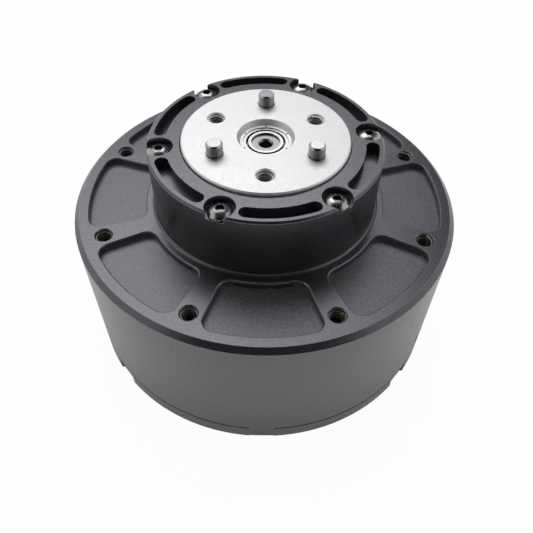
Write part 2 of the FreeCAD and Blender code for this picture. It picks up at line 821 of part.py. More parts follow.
def stator_tooth(angle, low, high):
    """One lamination tooth with its wider tip, open to the bore."""
    half_slot = 180.0 / STATOR_TEETH
    tip_width = 2 * stator_inner * sine(half_slot) - d.slot_opening
    tooth = box(stator_outer - stator_yoke + 0.5 - stator_inner, d.tooth_width, low, high, angle,
                stator_inner)
    tip = box(d.tooth_tip + 0.4, tip_width, low, high, angle, stator_inner - 0.4)
    return [tooth, tip]


def stator():
    high = stator_low + d.stator_stack
    teeth = []
    for i in range(STATOR_TEETH):
        teeth += stator_tooth(i * 360.0 / STATOR_TEETH + 7.5, stator_low, high)
    yoke = tube(stator_outer, stator_outer - stator_yoke, stator_low, high)
    node("stator_core", cut(fuse(yoke, *teeth), cylinder(stator_inner, stator_low - 1, high + 1)))
    coils = []
    reach = stator_inner + d.tooth_tip + d.winding_gap
    depth = stator_outer - stator_yoke - d.winding_gap - reach - 0.6
    for i in range(STATOR_TEETH):
        angle = i * 360.0 / STATOR_TEETH + 7.5
        outer = box(depth, d.tooth_width + 2 * (d.winding_gap + d.winding_thickness), winding_low,
                    high + d.winding_gap + d.winding_thickness, angle, reach)
        inner = box(depth + 2, d.tooth_width + 2 * d.winding_gap, stator_low - d.winding_gap,
                    high + d.winding_gap, angle, reach - 1)
        coils.append(cut(outer, inner))
    node("stator_windings", group(coils))


def rotor():
    plate = cylinder(magnet_inner, rotor_low, rotor_high)
    rim = tube(magnet_inner, rotor_inner, rotor_low, rotor_high + d.magnet_start + d.magnet_length)
    ledge = cylinder(magnet_outer, rotor_low, rotor_high)
    windows = drilled(d.window_radius, rotor_low - 1, rotor_high + 1,
                      around(WINDOWS, d.window_circle, 30.0))
    node("rotor_cup", cut(fuse(plate, rim, ledge), cylinder(d.shaft_radius, rotor_low - 1, rotor_high + 1),
                          *windows))
    low = rotor_high + d.magnet_start
    step = 360.0 / MAGNETS
    magnets = [cut(cylinder(magnet_outer, low, low + d.magnet_length, span=step - d.magnet_gap_angle,
                            turn=i * step),
                   cylinder(magnet_inner, low - 1, low + d.magnet_length + 1))
               for i in range(MAGNETS)]
    node("rotor_magnets", group(magnets))
    magnet_low = encoder_chip_top + d.encoder_gap
    shaft_low = magnet_low + 0.2
    stub = d.shaft_radius * 0.55
    node("rotor_shaft", cut(cylinder(d.shaft_radius, shaft_low, front_race_high),
                            cylinder(d.encoder_magnet_radius, shaft_low - 1,
                                     magnet_low + d.encoder_magnet_length),
                            cylinder(stub, rotor_high, front_race_high + 1)))
    node("encoder_magnet", cylinder(d.encoder_magnet_radius, magnet_low,
                                    magnet_low + d.encoder_magnet_length))
    gear = external_gear(int(DRIVING["sun_teeth"]), sun_pitch, front_race_high + 0.2, first_planet_high)
    node("first_sun_gear", fuse(gear, cylinder(stub, rotor_high, front_race_high + 1)))


# ---------------------------------------------------------------------------------------------
# Ball bearings
# ---------------------------------------------------------------------------------------------


def bearing(name, bore, outer, low, width, ball_radius, balls, inner_name, outer_name):
    """Inner and outer races with grooves, and the balls in a pocketed cage."""
    middle = low + width / 2
    pitch = (bore + outer) / 2
    shoulder = ball_radius * 0.45
    groove = ball_radius + d.ball_clearance
    node(inner_name, cut(tube(pitch - shoulder, bore, low, low + width), torus(pitch, groove, middle)))
    node(outer_name, cut(tube(outer, pitch + shoulder, low, low + width), torus(pitch, groove, middle)))
    points = around(balls, pitch, 0.0)
    half_cage = ball_radius * 0.35
    pockets = [sphere(ball_radius + d.ball_clearance, x, y, middle) for x, y in points]
    cage = cut(tube(pitch + half_cage, pitch - half_cage, middle - ball_radius * 0.7,
                    middle + ball_radius * 1.2), *pockets)
    node(name, group([cage] + [sphere(ball_radius, x, y, middle) for x, y in points]))


def bearings():
    bearing("output_bearing_balls", output_bearing_bore, gearbox_radius, output_race_low,
            d.output_bearing_width, d.output_ball_radius, 24,
            "output_bearing_inner_race", "output_bearing_outer_race")
    bearing("centre_bearing_balls", d.centre_bearing_bore, d.centre_bearing_outer, centre_race_low,
            d.centre_bearing_width, d.centre_ball_radius, 13,
            "centre_bearing_inner_race", "centre_bearing_outer_race")
    for name, low in (("front_rotor_bearing", front_race_low), ("rear_rotor_bearing", rear_race_low)):
        bearing(f"{name}_balls", d.shaft_radius, d.rotor_bearing_outer, low, d.rotor_bearing_width,
                d.rotor_ball_radius, 10, f"{name}_inner_race", f"{name}_outer_race")


# ---------------------------------------------------------------------------------------------
# Gear train and output
# ---------------------------------------------------------------------------------------------
recess_floor = disc_top - d.recess_depth
centre_race_high = recess_floor - 0.2
centre_race_low = centre_race_high - d.centre_bearing_width


def ring_gear():
    ring_pitch = sun_pitch + 2 * planet_pitch
    space = math.pi * d.module_size.value / 2 + d.tooth_thinning.value
    cutter = toothed(ring_teeth, (ring_pitch + d.dedendum).value, (ring_pitch - d.addendum).value,
                     space, sleeve_low.value - 1, output_race_low.value + 1)
    spot(cutter, turn=ring_turn(-90.0))
    node("ring_gear", cut(cylinder(gearbox_radius, sleeve_low, output_race_low), cutter))


def planets(stage, points, phase, low, high, pin_radius):
    """Three planets, each its own sub-part, bored to run on its pin."""
    for i, (x, y) in enumerate(points):
        blank = external_gear(int(DRIVING["planet_teeth"]), planet_pitch, low, high)
        bored = cut(blank, cylinder(pin_radius + d.pin_running_gap, low - 1, high + 1))
        spot(bored, x, y, 0, planet_turn(phase + i * 360.0 / PLANETS))
        node(f"{stage}_planet_{i + 1}", bored)


def first_carrier():
    front = fuse(cylinder(d.carrier_radius, first_front_low, first_front_high),
                 *drilled(d.spacer_radius, first_rear_high, first_front_low + 0.5, spacers_first))
    node("first_carrier_front_plate",
         cut(front, *drilled(d.first_pin_radius, first_front_low - 1, first_front_high + 1, first_planets),
             *drilled(d.screw_two, first_rear_high - 1, first_rear_high + 5, spacers_first),
             cylinder(sun_stub, first_front_low - 1, first_front_high + 1)))
    seat = first_rear_low + 1.4
    rear = cut(cylinder(d.carrier_radius, first_rear_low, first_rear_high),
               *drilled(d.first_pin_radius, first_rear_low - 1, first_rear_high + 1, first_planets),
               *drilled(d.screw_two + d.screw_clearance, first_rear_low - 1, first_rear_high + 1,
                        spacers_first),
               *drilled(d.screw_two * 2.1, first_rear_low - 1, seat, spacers_first),
               cylinder(sun_pitch + d.addendum + 0.8, first_rear_low - 1, first_rear_high + 1))
    node("first_carrier_rear_plate", rear)
    node("first_carrier_screws", screws(spacers_first, d.screw_two, seat, first_rear_high + 4.5, -1.0,
                                        d.screw_two * 1.9, Size.of(1.3)))
    node("first_planet_pins", group(drilled(d.first_pin_radius, first_rear_low, first_front_high,
                                            first_planets)))


def second_sun():
    """The second-stage sun, one piece with the shaft that ends in the output's centre."""
    end = centre_race_high - d.shaft_end_drop + 0.2
    gear = external_gear(int(DRIVING["sun_teeth"]), sun_pitch, first_front_high, second_planet_high)
    shaft = fuse(gear, cylinder(sun_stub, first_front_low, first_front_high + 1),
                 cylinder(d.centre_bearing_bore, second_planet_high - 1, end))
    drill = cylinder(d.centre_drill_radius, end - 4, end + 1)
    mouth = cone(d.centre_drill_radius, d.centre_drill_radius + 0.5, end - 0.4, end + 0.1)
    node("second_sun_shaft", cut(shaft, drill, mouth))


def output_flange():
    disc_low = hub_top + 0.3
    dowels = around(PLANETS, d.dowel_circle, 60.0)
    threads = around(PLANETS, d.output_hole_circle, 0.0)
    body = fuse(cylinder(output_bearing_bore, flange_low, disc_low),
                cylinder(output_bearing_bore + d.race_shoulder, hub_top, disc_low),
                cylinder(disc_radius, disc_low, disc_top - d.disc_edge),
                cone(disc_radius, disc_radius - d.disc_edge, disc_top - d.disc_edge, disc_top),
                *drilled(d.spacer_radius, second_rear_high, flange_low + 0.5, spacers_second))
    groove = tube(output_bearing_bore + 1, output_bearing_bore - d.circlip_depth, circlip_low,
                  output_race_low)
    recess = cone(d.recess_radius - d.recess_taper, d.recess_radius, recess_floor, disc_top)
    stakes = drilled(Size.of(0.25), recess_floor - 0.3, recess_floor + 0.1,
                     around(STAKES, (d.centre_bearing_outer + d.recess_radius - d.recess_taper) / 2, 0.0))
    tools = [groove, recess,
             cylinder(d.centre_bearing_outer, centre_race_low, recess_floor + 0.1),
             cylinder(d.centre_bearing_outer - 0.6, flange_low - 1, centre_race_low + 0.1)]
    tools += stakes
    tools += countersunk(d.output_hole_radius, disc_top - d.output_hole_depth, disc_top, threads)
    shank_radius = d.dowel_radius + d.dowel_shoulder
    tools += drilled(shank_radius, disc_top - d.dowel_depth, disc_top + 1, dowels)
    tools += drilled(d.second_pin_radius, flange_low - 1, pin_top, second_planets)
    tools += drilled(d.screw_two_half, second_rear_high - 1, second_rear_high + 7, spacers_second)
    node("output_flange", cut(body, *tools))
    tip = disc_top + d.dowel_proud
    pins = []
    for x, y in dowels:
        shank = cylinder(shank_radius, disc_top - d.dowel_depth, disc_top, x, y)
        pin = cylinder(d.dowel_radius, disc_top - 1, tip - d.dowel_chamfer, x, y)
        end = cone(d.dowel_radius, d.dowel_radius - d.dowel_chamfer, tip - d.dowel_chamfer, tip, x, y)
        pins.append(fuse(shank, pin, end))
    node("output_dowel_pins", group(pins))


def second_carrier():
    seat = second_rear_low + 1.6
    plate = cut(cylinder(d.carrier_radius, second_rear_low, second_rear_high),
                *drilled(d.second_pin_radius, second_rear_low - 1, second_rear_high + 1, second_planets),
                *drilled(d.screw_two_half + d.screw_clearance, second_rear_low - 1, second_rear_high + 1,
                         spacers_second),
                *drilled(d.screw_two_half * 2.0, second_rear_low - 1, seat, spacers_second),
                cylinder(sun_pitch + d.addendum + 0.8, second_rear_low - 1, second_rear_high + 1))
    node("output_carrier_plate", plate)
    node("carrier_plate_screws", screws(spacers_second, d.screw_two_half, seat, second_rear_high + 6.5,
                                        -1.0, d.screw_two_half * 1.8, Size.of(1.5)))
    node("second_planet_pins", group(drilled(d.second_pin_radius, second_rear_low, pin_top,
                                             second_planets)))
    opening = box(output_bearing_bore * 2, Size.of(6.0), circlip_low - 1, output_race_low + 1, 180.0,
                  Size.of(0.0))
    clip = cut(tube(output_bearing_bore + d.race_shoulder, output_bearing_bore - d.circlip_depth,
                    circlip_low, output_race_low), opening)
    node("output_circlip", clip)


sun_stub = sun_pitch - d.dedendum - 0.2
pin_top = flange_low + 4.5


def build():
    front_housing()
    cover_ring()
    ring_gear()
    gearbox_end_plate()
    stator()
    rear_plate()
    grub_screw()
    electronics()
    sockets()
    rear_cover()
    rotor()
    bearings()
    first_carrier()
    second_sun()
    planets("first", first_planets, -30.0, first_planet_low, first_planet_high, d.first_pin_radius)
    output_flange()
    second_carrier()
    planets("second", second_planets, -90.0, second_planet_low, second_planet_high, d.second_pin_radius)


def check():
    """Stop before anything is written if any object failed."""
    failed = [obj.Label for obj in doc.Objects if "Invalid" in obj.State or "Error" in obj.State]
    bad = [obj.Label for obj in nodes if obj.Shape.isNull() or not obj.Shape.isValid()]
    labels = [obj.Label for obj in nodes]
    if failed or bad or len(set(labels)) != len(labels):
        raise RuntimeError(f"failed objects {failed}, bad shapes {bad}, labels {labels}")


build()
doc.recompute()
check()
os.makedirs("parts", exist_ok=True)
for finished in nodes:
    finished.Shape.exportStep(f"parts/{finished.Label}.step")
print(len(nodes), "nodes written")
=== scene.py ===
# %% [markdown]
# # A robot joint actuator
#
# The object is a flat, drum-shaped motor with a gearbox inside: a black anodised housing, a hub with a
# slotted cover ring, and a bright output disc that turns 36 times slower than the motor. The engineering
# model arrives ready made and keeps its shapes. This script dresses it: it gives every part a finish made
# of shader nodes, models the small details that the engineering model leaves plain, and sets up a studio.

# %% Load the model
import json
import math

import bpy
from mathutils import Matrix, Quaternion, Vector


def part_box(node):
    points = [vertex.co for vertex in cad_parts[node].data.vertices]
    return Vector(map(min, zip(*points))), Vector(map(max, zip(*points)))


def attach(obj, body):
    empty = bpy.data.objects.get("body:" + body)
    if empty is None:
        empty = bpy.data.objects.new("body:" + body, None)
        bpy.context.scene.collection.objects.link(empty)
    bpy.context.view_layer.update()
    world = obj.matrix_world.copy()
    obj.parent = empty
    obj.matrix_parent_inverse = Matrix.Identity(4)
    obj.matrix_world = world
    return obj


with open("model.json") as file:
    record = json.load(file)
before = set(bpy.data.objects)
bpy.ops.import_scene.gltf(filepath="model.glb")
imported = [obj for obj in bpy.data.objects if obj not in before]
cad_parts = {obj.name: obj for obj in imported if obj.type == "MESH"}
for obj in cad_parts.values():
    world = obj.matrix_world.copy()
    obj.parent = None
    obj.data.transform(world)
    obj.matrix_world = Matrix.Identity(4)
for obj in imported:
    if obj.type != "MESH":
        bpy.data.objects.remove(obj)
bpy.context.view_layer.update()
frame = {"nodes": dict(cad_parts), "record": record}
nodes = frame["nodes"]

# %% [markdown]
# ## Sizes
#
# Sizes are read from the model's own boxes where that is possible. Blender works in metres, so a
# millimetre gets a name, and the few sizes that a box can't give are written in it.

# %% Sizes of the model
MM = 0.001
drum_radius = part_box("front_housing")[1].x
hub_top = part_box("bearing_cover_ring")[0].z
disc_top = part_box("output_flange")[1].z
flange_face = 41.0 * MM
print("drum radius", round(drum_radius / MM, 2), "mm, output disc at", round(disc_top / MM, 2), "mm")

# %% [markdown]
# Blender's operators act on whatever is selected, and the loaded parts arrive selected. So everything is
# let go here, and again before each thing that is modelled.


# %% Nothing selected
def deselect_all():
    """Nothing selected, and object mode, so that an operator touches only what it is given."""
    if bpy.context.object and bpy.context.object.mode != "OBJECT":
        bpy.ops.object.mode_set(mode="OBJECT")
    bpy.ops.object.select_all(action="DESELECT")


deselect_all()
print("selected:", len(bpy.context.selected_objects))

# %% [markdown]
# ## The camera
#
# The view is from the front and about 44 degrees up, close enough for the near edge of the drum to look
# much larger than the far one. A camera looks along its own -Z, so `to_track_quat` aims that axis at a
# point on the drum's axis, and three small turns after it settle the framing.

# %% Camera
aim = Vector((0, 0, 32.643 * MM))
elevation = math.radians(44.247)
distance = 156.547 * MM
towards = Vector((0, -math.cos(elevation), math.sin(elevation)))
camera_data = bpy.data.cameras.new("studio_camera")
camera_data.sensor_width = 36
camera_data.lens = 38.47
camera_data.clip_start = 0.01
camera_data.clip_end = 20
camera = bpy.data.objects.new("studio_camera", camera_data)
bpy.context.scene.collection.objects.link(camera)
bpy.context.scene.camera = camera
pan = Quaternion((0, 1, 0), math.radians(-0.259))
tilt = Quaternion((1, 0, 0), math.radians(-5.112))
roll = Quaternion((0, 0, 1), math.radians(0.881))
camera.rotation_mode = "QUATERNION"
camera.location = aim + towards * distance
camera.rotation_quaternion = (-towards).to_track_quat("-Z", "Y") @ pan @ tilt @ roll
print("camera at", [round(v / MM, 1) for v in camera.location], "mm, lens", camera_data.lens)

# %% [markdown]
# ## Colours and nodes
#
# A finish is a small tree of shader nodes. One function adds a node of any kind, sets its options and
# socket values, and links what feeds it. Colours are written as web hex values, which are sRGB, and one
# function turns them to the linear numbers that the renderer works in. A Mix node has one set of sockets
# for numbers and another for colours, so the sockets used here get names.

# %% Node and colour helpers
NUMBER_A, NUMBER_B, NUMBER_OUT = 2, 3, 0
COLOUR_A, COLOUR_B, COLOUR_OUT = 6, 7, 2
WHITE = (1, 1, 1, 1)
BLACK = (0, 0, 0, 1)


def linear(hex_colour):
    """An sRGB hex colour as linear red, green, blue and 1."""
    channels = [int(hex_colour[i:i + 2], 16) / 255 for i in (1, 3, 5)]
    return [c / 12.92 if c <= 0.04045 else ((c + 0.055) / 1.055) ** 2.4 for c in channels] + [1]


def add(tree, kind, values=None, sources=None, **options):
    """A new node: options are its settings, values its sockets' numbers, sources what feeds them."""
    node = tree.nodes.new(kind)
    for name, value in options.items():
        setattr(node, name, value)
    for socket, value in (values or {}).items():
        node.inputs[socket].default_value = value
    for socket, source in (sources or {}).items():
        tree.links.new(source, node.inputs[socket])
    return node


def new_material(name):
    """A material with only a shader and an output, as (material, tree, shader)."""
    material = bpy.data.materials.new(name)
    material.use_nodes = True
    tree = material.node_tree
    tree.nodes.clear()
    shader = add(tree, "ShaderNodeBsdfPrincipled")
    add(tree, "ShaderNodeOutputMaterial", sources={"Surface": shader.outputs[0]})
    return material, tree, shader


print("#808080 is", round(linear("#808080")[0], 3), "in linear light")

# %% [markdown]
# ## The studio
#
# A pale floor and a white world make a plain studio. The floor and the world are pure white to the eye,
# to mirrors and to glass, while the floor still takes the object's shadow from the diffuse part of its
# shader. Without that, black metal standing on white paper would look as if it hung in the air.
#
# The Light Path node tells what kind of ray has reached the surface. A mirror image of the floor darkens
# close to the drum, as the real floor does in the drum's shadow, and that shades the drum's lowest band.


# %% Floor
def seen_white(tree, mirrored):
    """1 for rays from the camera and through glass, and mirrored's share, or 1, for a mirror's rays."""
    path = add(tree, "ShaderNodeLightPath")
    in_mirror = add(tree, "ShaderNodeMath", operation="MULTIPLY", values={1: 1.0},
                    sources={0: path.outputs["Is Glossy Ray"]})
    if mirrored:
        tree.links.new(mirrored, in_mirror.inputs[1])
    seen = add(tree, "ShaderNodeMath", operation="MAXIMUM",
               sources={0: path.outputs["Is Camera Ray"], 1: in_mirror.outputs[0]})
    seen = add(tree, "ShaderNodeMath", operation="MAXIMUM",
               sources={0: seen.outputs[0], 1: path.outputs["Is Transmission Ray"]})
    return seen.outputs[0]


floor_size = 6
shadow_reach = 1.35 * drum_radius
mirror_at_drum = 0.25
glow_share = 0.96
bpy.ops.mesh.primitive_plane_add(size=floor_size, location=(0, 0, 0))
floor = bpy.context.object
floor.name = "studio_floor"
# Matt white paper: it spreads light evenly and hardly mirrors, so only the shadow shows on it.
paper, tree, shader = new_material("matt_white_paper")
shader.inputs["Base Color"].default_value = linear("#F4F4F4")
shader.inputs["Roughness"].default_value = 0.9
shader.inputs["Specular IOR Level"].default_value = 0.1
where = add(tree, "ShaderNodeTexCoord")
away = add(tree, "ShaderNodeVectorMath", operation="LENGTH", sources={0: where.outputs["Object"]})
clear = add(tree, "ShaderNodeMapRange", sources={"Value": away.outputs["Value"]},
            values={"From Min": drum_radius, "From Max": shadow_reach, "To Min": mirror_at_drum,
                    "To Max": 1.0})
share = add(tree, "ShaderNodeMath", operation="MULTIPLY", values={1: glow_share},
            sources={0: seen_white(tree, clear.outputs[0])})
glow = add(tree, "ShaderNodeEmission", values={"Color": WHITE, "Strength": 1.0})
mixed = add(tree, "ShaderNodeMixShader",
            sources={0: share.outputs[0], 1: shader.outputs[0], 2: glow.outputs[0]})
tree.links.new(mixed.outputs[0], tree.nodes["Material Output"].inputs["Surface"])
floor.data.materials.append(paper)
print("floor", floor.name, "is", floor.dimensions.x, "m wide")

# %% [markdown]
# The world is the room: a weak even fill for the light that reaches the object, and plain white for the
# eye, mirrors and glass. The Standard view transform shows a colour about as it is written.

# %% World
world_fill = 0.7
world = bpy.data.worlds.new("white_studio")
bpy.context.scene.world = world
world.use_nodes = True
tree = world.node_tree
tree.nodes.clear()
fill = add(tree, "ShaderNodeBackground", values={"Color": WHITE, "Strength": world_fill})
white = add(tree, "ShaderNodeBackground", values={"Color": WHITE, "Strength": 1.0})
mixed = add(tree, "ShaderNodeMixShader",
            sources={0: seen_white(tree, None), 1: fill.outputs[0], 2: white.outputs[0]})
add(tree, "ShaderNodeOutputWorld", sources={"Surface": mixed.outputs[0]})
bpy.context.scene.view_settings.view_transform = "Standard"
print("world fill", world_fill)

# %% [markdown]
# One soft lamp stands behind the object, high and a little to the left. Flat tops mirror it to the camera,
# which is what makes the black flange look grey and satin. An area lamp gives a soft edge to that mirror
# image, and its power is worked out from how bright its face should look.


# %% Lamp
def from_angles(azimuth, elevation, distance):
    """A place seen from the object, in metres: azimuth counts from the front towards the right."""
    azimuth, elevation = math.radians(azimuth), math.radians(elevation)
    level = math.cos(elevation) * distance
    return Vector((math.sin(azimuth) * level, -math.cos(azimuth) * level, math.sin(elevation) * distance))


def aim_at_object(thing, azimuth, elevation, distance):
    """Stands a thing at a place round the object, its -Z towards the middle of the flange."""
    target = Vector((0, 0, flange_face))
    thing.location = target + from_angles(azimuth, elevation, distance)
    thing.rotation_mode = "QUATERNION"
    thing.rotation_quaternion = (target - thing.location).to_track_quat("-Z", "Y")


def soft_lamp(name, azimuth, elevation, distance, width, height, radiance):
    """A rectangular lamp whose face is as bright as radiance times white."""
    data = bpy.data.lights.new(name, "AREA")
    data.shape = "RECTANGLE"
    data.size = width
    data.size_y = height
    data.energy = radiance * math.pi * width * height
    lamp = bpy.data.objects.new(name, data)
    bpy.context.scene.collection.objects.link(lamp)
    aim_at_object(lamp, azimuth, elevation, distance)
    print(name, round(data.energy, 2), "W")


soft_lamp("back_softbox", azimuth=190, elevation=56, distance=0.6, width=0.50, height=0.42, radiance=2.5)

# %% [markdown]
# Black flags stand round shiny metal in a studio. A mirror shows whatever is in front of it, so a flag
# draws the dark lines on chamfers, screws and pins that tell the eye that they are metal. The flags here
# are plain panels that only mirrors see. They cast no shadow and take no light from the object.

# %% Flags
# Black cotton cloth: no gloss at all, so that a mirror shows it as an even dark shape.
flag_black, tree, shader = new_material("black_flag_cloth")
shader.inputs["Base Color"].default_value = linear("#050505")
shader.inputs["Roughness"].default_value = 0.9


def flag(name, azimuth, elevation, distance, width, height):
    """A black panel that only mirrors see."""
    bpy.ops.mesh.primitive_plane_add(size=1)
    panel = bpy.context.object
    panel.name = name
    panel.scale = (width, height, 1)
    aim_at_object(panel, azimuth, elevation, distance)
    panel.data.materials.append(flag_black)
    panel.visible_camera = False
    panel.visible_diffuse = False
    panel.visible_shadow = False
    panel.visible_transmission = False
    print(name, width, "by", height, "m")


flag("front_flag", azimuth=0, elevation=36, distance=1.2, width=2.2, height=1.15)
flag("top_flag", azimuth=0, elevation=82, distance=1.2, width=1.5, height=0.95)
flag("low_back_flag", azimuth=180, elevation=22, distance=1.5, width=2.6, height=0.65)
flag("right_back_flag", azimuth=145, elevation=48, distance=1.4, width=0.9, height=0.9)
deselect_all()

# %% [markdown]
# ## Finishes
#
# Every finish is the same small tree with its own numbers. A noise pattern at the size of the real grain
# drives the roughness and a bump, so a highlight breaks up as it does on blasted, cast or drawn metal.
# The bump starts from a normal that is rounded at sharp edges, because no machined edge is perfectly
# sharp: its tiny radius catches the light as a thin line.
#
# A face turned on a lathe has rings round its axis. They come from a noise of the distance to the axis
# alone, so they run true round the disc.


# %% Turned rings
def distance_to_axis(tree, where):
    """How far a point lies from the Z axis, as a socket."""
    split = add(tree, "ShaderNodeSeparateXYZ", sources={0: where.outputs["Object"]})
    level = add(tree, "ShaderNodeCombineXYZ", sources={0: split.outputs[0], 1: split.outputs[1]})
    radius = add(tree, "ShaderNodeVectorMath", operation="LENGTH", sources={0: level.outputs[0]})
    return radius.outputs["Value"]


def add_rings(tree, where, height, pitch):
    """The height with rings added to it, pitch mm apart."""
    rings = add(tree, "ShaderNodeTexNoise", noise_dimensions="1D", values={"Scale": 1 / (pitch * MM)},
                sources={"W": distance_to_axis(tree, where)})
    total = add(tree, "ShaderNodeMath", operation="ADD", sources={0: height, 1: rings.outputs["Fac"]})
    return total.outputs[0]


print("rings 0.25 mm apart make a noise scale of", round(1 / (0.25 * MM)))

# %% [markdown]
# The paler edges are partly a painted highlight, a thin light line painted along each sharp edge, and
# partly wear: the black layer on anodised aluminium is thin, and hands and tools rub it off the outermost
# edges. An edge is where the rounded normal departs from the flat one. The ambient occlusion node keeps
# the painted highlight and the wear off inner corners, and where two parts meet flush there is no edge.

# %% Worn edges with a painted highlight
edge_starts, edge_full = 0.995, 0.93
corner_shut, corner_open = 0.8, 0.95
wear_and_highlight_reach = 1.5 * MM
flush_band = 0.5 * MM
sky_samples = 8


def paint_edge_highlight_and_wear(tree, shader, where, softened, colour, wear_and_highlight, quiet):
    """Mixes the edge colour, a painted highlight and wear together, into the outermost edges, except at the
    height quiet.
    """
    flat = add(tree, "ShaderNodeNewGeometry")
    same = add(tree, "ShaderNodeVectorMath", operation="DOT_PRODUCT",
               sources={0: softened.outputs[0], 1: flat.outputs["Normal"]})
    edges = add(tree, "ShaderNodeMapRange", values={"From Min": edge_starts, "From Max": edge_full},
                sources={"Value": same.outputs["Value"]})
    split = add(tree, "ShaderNodeSeparateXYZ", sources={0: where.outputs["Object"]})
    flush = add(tree, "ShaderNodeMath", operation="COMPARE", values={1: quiet, 2: flush_band},
                sources={0: split.outputs[2]})
    edges = add(tree, "ShaderNodeMath", operation="SUBTRACT", use_clamp=True,
                sources={0: edges.outputs[0], 1: flush.outputs[0]})
    open_sky = add(tree, "ShaderNodeAmbientOcclusion", samples=sky_samples, values={"Distance": wear_and_highlight_reach})
    outer = add(tree, "ShaderNodeMapRange", values={"From Min": corner_shut, "From Max": corner_open},
                sources={"Value": open_sky.outputs["AO"]})
    edges = add(tree, "ShaderNodeMath", operation="MULTIPLY",
                sources={0: edges.outputs[0], 1: outer.outputs[0]})
    shade = add(tree, "ShaderNodeMix", data_type="RGBA", sources={0: edges.outputs[0]},
                values={COLOUR_A: linear(colour), COLOUR_B: linear(wear_and_highlight)})
    tree.links.new(shade.outputs[COLOUR_OUT], shader.inputs["Base Color"])


print("no wear within", flush_band / MM, "mm of a flush joint's height")

# %% [markdown]
# The grained surface puts these together: colour, grain, rings where it was turned, and, where asked, paler
# edges that are a painted highlight and wear.
# A metal is the same surface with the shader's metallic value at 1, and it keeps the default IOR. Bare
# metal's grain is finer than shows at this size, so it is drawn coarser, at 0.4 mm, and very shallow.

# %% A grained surface and a metal
noise_low, noise_high = 0.3, 0.7
roughness_spread = 0.06
bump_strength = 0.35
edge_samples = 4
metal_grain = 0.4
metal_depth = 0.004


def grained(name, colour, roughness, grain, depth, ior=1.5, metallic=0.0, edge=0.12, turned=0.0,
            wear_and_highlight=None, tint="#FFFFFF", quiet=None):
    """Grain, depth, edge radius and the pitch of turned rings are in mm. The edges' colour is a painted
    highlight and wear together.
    """
    material, tree, shader = new_material(name)
    shader.inputs["Base Color"].default_value = linear(colour)
    shader.inputs["Specular Tint"].default_value = linear(tint)
    shader.inputs["Metallic"].default_value = metallic
    if not metallic:
        shader.inputs["IOR"].default_value = ior
    where = add(tree, "ShaderNodeTexCoord")
    speckle = add(tree, "ShaderNodeTexNoise", sources={"Vector": where.outputs["Object"]},
                  values={"Scale": 1 / (grain * MM), "Detail": 2, "Roughness": 0.6})
    rough = add(tree, "ShaderNodeMapRange", sources={"Value": speckle.outputs["Fac"]},
                values={"From Min": noise_low, "From Max": noise_high,
                        "To Min": roughness - roughness_spread, "To Max": roughness + roughness_spread})
    tree.links.new(rough.outputs[0], shader.inputs["Roughness"])
    height = speckle.outputs["Fac"]
    if turned:
        height = add_rings(tree, where, height, turned)
    softened = add(tree, "ShaderNodeBevel", samples=edge_samples, values={"Radius": edge * MM})
    if wear_and_highlight:
        paint_edge_highlight_and_wear(tree, shader, where, softened, colour, wear_and_highlight, quiet)
    bump = add(tree, "ShaderNodeBump", values={"Strength": bump_strength, "Distance": depth * MM},
               sources={"Height": height, "Normal": softened.outputs[0]})
    tree.links.new(bump.outputs[0], shader.inputs["Normal"])
    return material


def metal(name, colour, roughness, turned=0.0):
    """Bare metal, with rings where it was turned."""
    return grained(name, colour, roughness, metal_grain, metal_depth, metallic=1.0, edge=0.1, turned=turned)


print("roughness varies by", roughness_spread, "either way")

# %% [markdown]
# A drilled hole, a hexagon socket and the foot of a pin look nearly black on real steel, because little
# light comes out of them again. That shade is painted into the colour here: the ambient occlusion node
# measures how closed in a point is, and it darkens the colour there.

# %% Painted shade in hollows
painted_shade_shut, painted_shade_open = 0.35, 0.75


def paint_shade_in_hollows(material, reach, dark):
    """Paints shade into the base colour, down to dark, where surroundings within reach mm close a point in.
    """
    tree = material.node_tree
    shader = tree.nodes["Principled BSDF"]
    colour = shader.inputs["Base Color"].default_value[:]
    open_sky = add(tree, "ShaderNodeAmbientOcclusion", samples=sky_samples, values={"Distance": reach * MM})
    shade = add(tree, "ShaderNodeMapRange", sources={"Value": open_sky.outputs["AO"]},
                values={"From Min": painted_shade_shut, "From Max": painted_shade_open, "To Min": dark, "To Max": 1.0})
    mixed = add(tree, "ShaderNodeMix", data_type="RGBA", sources={0: shade.outputs[0]},
                values={COLOUR_A: BLACK, COLOUR_B: colour})
    tree.links.new(mixed.outputs[COLOUR_OUT], shader.inputs["Base Color"])
    return material


print("a hollow is darkest where less than", painted_shade_shut, "of the sky is open")

# %% [markdown]
# Each finish is named for its material and how its surface was made, and its comment says what that gives
# the eye. These seven are the ones on the housing, the hub and the output.

# %% The finishes of the housing, the hub and the output
finishes = {}
# Aluminium blasted with glass beads, then anodised black: satin, as the tiny dents spread each highlight.
# The dents are about 0.1 mm wide and are drawn at 0.45 mm, so that they show. The hard clear layer on the
# metal mirrors more than paint does, so the IOR is high, and the dye leaves a trace of violet in its gloss.
# Its pale edge colour is a painted highlight along the sharp edges, together with wear.
finishes["black_anodised"] = grained(
    "bead_blasted_black_anodised_aluminium", "#19191D", 0.32, grain=0.45, depth=0.05, ior=1.85, edge=0.14,
    wear_and_highlight="#96949A", tint="#F6F4FC", quiet=hub_top)
# Aluminium faced on a lathe: nearly white and matt, with faint rings round the axis. The tool's marks are
# about 0.05 mm apart and are drawn at 0.25 mm, so that they show.
finishes["machined_aluminium"] = metal("fine_turned_aluminium", "#D3D3D4", 0.55, turned=0.25)
# Turned stainless steel, on screws and pins: glossy, a little warm, with painted shade that makes the
# sockets and feet black.
finishes["stainless_steel"] = paint_shade_in_hollows(metal("turned_stainless_steel", "#A19F9D", 0.24), 1.5, 0.04)
